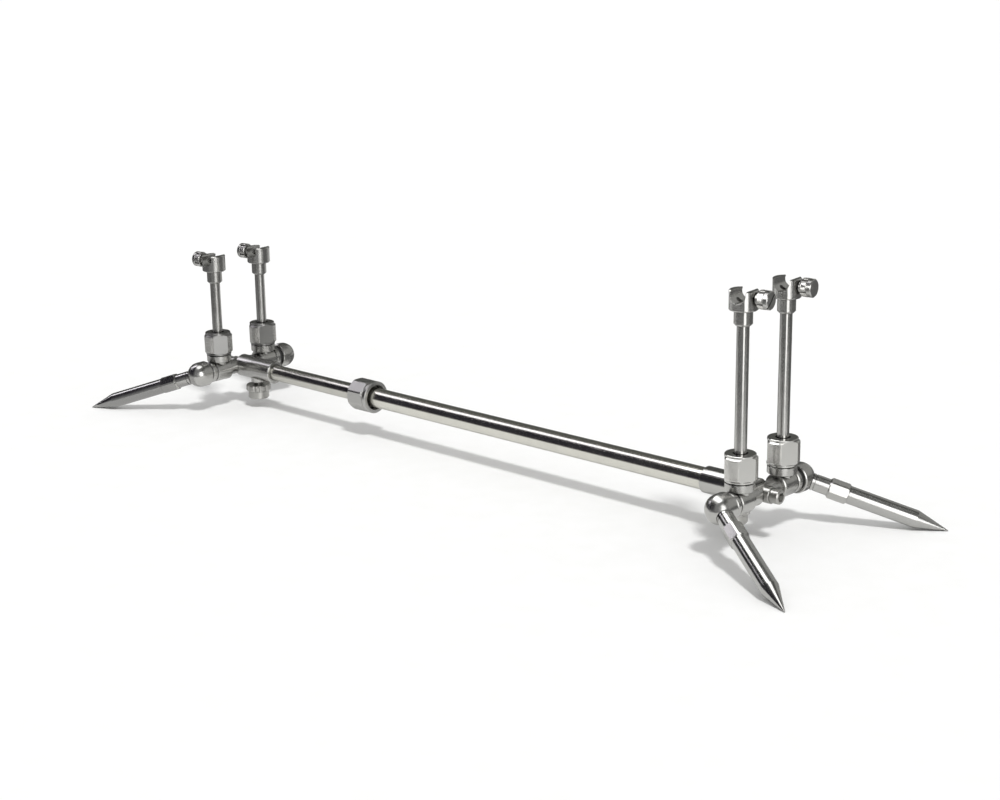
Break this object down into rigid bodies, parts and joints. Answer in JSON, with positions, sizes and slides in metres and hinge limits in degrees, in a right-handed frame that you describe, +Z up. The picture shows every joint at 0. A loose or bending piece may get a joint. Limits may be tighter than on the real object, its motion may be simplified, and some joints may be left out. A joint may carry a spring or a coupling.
{
  "type": "rod pod",
  "caption": "Low steel fishing rod pod: a telescopic beam between crossbars that carry adjustable uprights with hook-shaped clamp heads and swinging pointed legs.",
  "frame": {"origin": "on the ground plane under the middle of the beam", "axes": "+X along the beam to the taller front uprights, +Y to the left, +Z up"},
  "size_m": [0.8576, 0.2326, 0.2122],
  "materials": {
    "bright_tube": "polished",
    "turned_steel": "turned, satin",
    "screw_steel": "machined",
    "nylon": "plain",
    "dark_washer": "plain"
  },
  "bodies": {
    "beam": {"outer_tube": "bright_tube", "beam_thread_collar": "screw_steel", "beam_collet": "nylon"},
    "beam_nut": {"beam_lock_nut": "turned_steel"},
    "inner_beam": {"inner_tube": "bright_tube", "guide_bush": "nylon"},
    "front_end": {"front_crossbar": "turned_steel", "front_socket": "turned_steel", "front_socket_bolt": "screw_steel", "front_saddle_washer": "screw_steel", "front_left_collet": "nylon", "front_left_friction_washer": "dark_washer", "front_right_collet": "nylon", "front_right_friction_washer": "dark_washer"},
    "front_socket_screw": {"front_socket_screw": "screw_steel"},
    "front_left_lock_nut_body": {"front_left_lock_nut": "turned_steel"},
    "front_left_upright_body": {"front_left_upright": "bright_tube"},
    "front_left_head_body": {"front_left_head": "turned_steel"},
    "front_left_head_screw_body": {"front_left_head_screw": "turned_steel"},
    "front_left_knuckle_body": {"front_left_knuckle": "turned_steel"},
    "front_left_leg_body": {"front_left_leg": "turned_steel"},
    "front_right_lock_nut_body": {"front_right_lock_nut": "turned_steel"},
    "front_right_upright_body": {"front_right_upright": "bright_tube"},
    "front_right_head_body": {"front_right_head": "turned_steel"},
    "front_right_head_screw_body": {"front_right_head_screw": "turned_steel"},
    "front_right_knuckle_body": {"front_right_knuckle": "turned_steel"},
    "front_right_leg_body": {"front_right_leg": "turned_steel"},
    "rear_end": {"rear_crossbar": "turned_steel", "rear_socket": "turned_steel", "rear_socket_bolt": "screw_steel", "rear_saddle_washer": "screw_steel", "rear_left_collet": "nylon", "rear_left_friction_washer": "dark_washer", "rear_right_collet": "nylon", "rear_right_friction_washer": "dark_washer"},
    "rear_socket_screw": {"rear_socket_screw": "screw_steel"},
    "rear_left_lock_nut_body": {"rear_left_lock_nut": "turned_steel"},
    "rear_left_upright_body": {"rear_left_upright": "bright_tube"},
    "rear_left_head_body": {"rear_left_head": "turned_steel"},
    "rear_left_head_screw_body": {"rear_left_head_screw": "turned_steel"},
    "rear_left_knuckle_body": {"rear_left_knuckle": "turned_steel"},
    "rear_left_leg_body": {"rear_left_leg": "turned_steel"},
    "rear_right_lock_nut_body": {"rear_right_lock_nut": "turned_steel"},
    "rear_right_upright_body": {"rear_right_upright": "bright_tube"},
    "rear_right_head_body": {"rear_right_head": "turned_steel"},
    "rear_right_head_screw_body": {"rear_right_head_screw": "turned_steel"},
    "rear_right_knuckle_body": {"rear_right_knuckle": "turned_steel"},
    "rear_right_leg_body": {"rear_right_leg": "turned_steel"}
  },
  "joints": [
    {"name": "beam_nut_turn", "type": "hinge", "parent": "beam", "child": "beam_nut", "pos_m": [-0.136, 0, 0.04], "axis": [1, 0, 0], "continuous": true},
    {"name": "beam_slide", "type": "slide", "parent": "beam", "child": "inner_beam", "axis": [-1, 0, 0], "range_m": [-0.115, 0.19]},
    {"name": "front_roll", "type": "hinge", "parent": "beam", "child": "front_end", "pos_m": [0.325, 0, 0.04], "axis": [1, 0, 0], "continuous": true},
    {"name": "front_socket_screw_turn", "type": "hinge", "parent": "front_end", "child": "front_socket_screw", "pos_m": [0.3, 0, 0.02], "axis": [0, 0, 1], "continuous": true},
    {"name": "front_left_nut_turn", "type": "hinge", "parent": "front_end", "child": "front_left_lock_nut_body", "pos_m": [0.325, 0.029, 0.07], "axis": [0, 0, 1], "continuous": true},
    {"name": "front_left_rod_slide", "type": "slide", "parent": "front_end", "child": "front_left_upright_body", "axis": [0, 0, 1], "range_m": [-0.028, 0.018]},
    {"name": "front_left_head_turn", "type": "hinge", "parent": "front_left_upright_body", "child": "front_left_head_body", "pos_m": [0.325, 0.029, 0.1826], "axis": [0, 0, 1], "continuous": true},
    {"name": "front_left_head_screw_turn", "type": "hinge", "parent": "front_left_head_body", "child": "front_left_head_screw_body", "pos_m": [0.33992, 0.03057, 0.2047], "axis": [0.9945, 0.1045, 0], "continuous": true},
    {"name": "front_left_knuckle_swing", "type": "hinge", "parent": "front_end", "child": "front_left_knuckle_body", "pos_m": [0.325, 0.05445, 0.04], "axis": [0, 1, 0], "continuous": true},
    {"name": "front_left_leg_unscrew", "type": "hinge", "parent": "front_left_knuckle_body", "child": "front_left_leg_body", "pos_m": [0.325, 0.05445, 0.04], "axis": [0.817, 0.4848, -0.3123], "continuous": true},
    {"name": "front_right_nut_turn", "type": "hinge", "parent": "front_end", "child": "front_right_lock_nut_body", "pos_m": [0.325, -0.029, 0.07], "axis": [0, 0, 1], "continuous": true},
    {"name": "front_right_rod_slide", "type": "slide", "parent": "front_end", "child": "front_right_upright_body", "axis": [0, 0, 1], "range_m": [-0.028, 0.018]},
    {"name": "front_right_head_turn", "type": "hinge", "parent": "front_right_upright_body", "child": "front_right_head_body", "pos_m": [0.325, -0.029, 0.1826], "axis": [0, 0, 1], "continuous": true},
    {"name": "front_right_head_screw_turn", "type": "hinge", "parent": "front_right_head_body", "child": "front_right_head_screw_body", "pos_m": [0.33992, -0.02743, 0.2047], "axis": [0.9945, 0.1045, 0], "continuous": true},
    {"name": "front_right_knuckle_swing", "type": "hinge", "parent": "front_end", "child": "front_right_knuckle_body", "pos_m": [0.325, -0.05445, 0.04], "axis": [0, 1, 0], "continuous": true},
    {"name": "front_right_leg_unscrew", "type": "hinge", "parent": "front_right_knuckle_body", "child": "front_right_leg_body", "pos_m": [0.325, -0.05445, 0.04], "axis": [0.817, -0.4848, -0.3123], "continuous": true},
    {"name": "rear_roll", "type": "hinge", "parent": "inner_beam", "child": "rear_end", "pos_m": [-0.325, 0, 0.04], "axis": [1, 0, 0], "continuous": true},
    {"name": "rear_socket_screw_turn", "type": "hinge", "parent": "rear_end", "child": "rear_socket_screw", "pos_m": [-0.3, 0, 0.02], "axis": [0, 0, 1], "continuous": true},
    {"name": "rear_left_nut_turn", "type": "hinge", "parent": "rear_end", "child": "rear_left_lock_nut_body", "pos_m": [-0.325, 0.029, 0.07], "axis": [0, 0, 1], "continuous": true},
    {"name": "rear_left_rod_slide", "type": "slide", "parent": "rear_end", "child": "rear_left_upright_body", "axis": [0, 0, 1], "range_m": [-0.028, 0.018]},
    {"name": "rear_left_head_turn", "type": "hinge", "parent": "rear_left_upright_body", "child": "rear_left_head_body", "pos_m": [-0.325, 0.029, 0.1309], "axis": [0, 0, 1], "continuous": true},
    {"name": "rear_left_head_screw_turn", "type": "hinge", "parent": "rear_left_head_body", "child": "rear_left_head_screw_body", "pos_m": [-0.33992, 0.02743, 0.153], "axis": [-0.9945, -0.1045, 0], "continuous": true},
    {"name": "rear_left_knuckle_swing", "type": "hinge", "parent": "rear_end", "child": "rear_left_knuckle_body", "pos_m": [-0.325, 0.05445, 0.04], "axis": [0, 1, 0], "continuous": true},
    {"name": "rear_left_leg_unscrew", "type": "hinge", "parent": "rear_left_knuckle_body", "child": "rear_left_leg_body", "pos_m": [-0.325, 0.05445, 0.04], "axis": [-0.817, 0.4848, -0.3123], "continuous": true},
    {"name": "rear_right_nut_turn", "type": "hinge", "parent": "rear_end", "child": "rear_right_lock_nut_body", "pos_m": [-0.325, -0.029, 0.07], "axis": [0, 0, 1], "continuous": true},
    {"name": "rear_right_rod_slide", "type": "slide", "parent": "rear_end", "child": "rear_right_upright_body", "axis": [0, 0, 1], "range_m": [-0.028, 0.018]},
    {"name": "rear_right_head_turn", "type": "hinge", "parent": "rear_right_upright_body", "child": "rear_right_head_body", "pos_m": [-0.325, -0.029, 0.1309], "axis": [0, 0, 1], "continuous": true},
    {"name": "rear_right_head_screw_turn", "type": "hinge", "parent": "rear_right_head_body", "child": "rear_right_head_screw_body", "pos_m": [-0.33992, -0.03057, 0.153], "axis": [-0.9945, -0.1045, 0], "continuous": true},
    {"name": "rear_right_knuckle_swing", "type": "hinge", "parent": "rear_end", "child": "rear_right_knuckle_body", "pos_m": [-0.325, -0.05445, 0.04], "axis": [0, 1, 0], "continuous": true},
    {"name": "rear_right_leg_unscrew", "type": "hinge", "parent": "rear_right_knuckle_body", "child": "rear_right_leg_body", "pos_m": [-0.325, -0.05445, 0.04], "axis": [-0.817, -0.4848, -0.3123], "continuous": true}
  ]
}
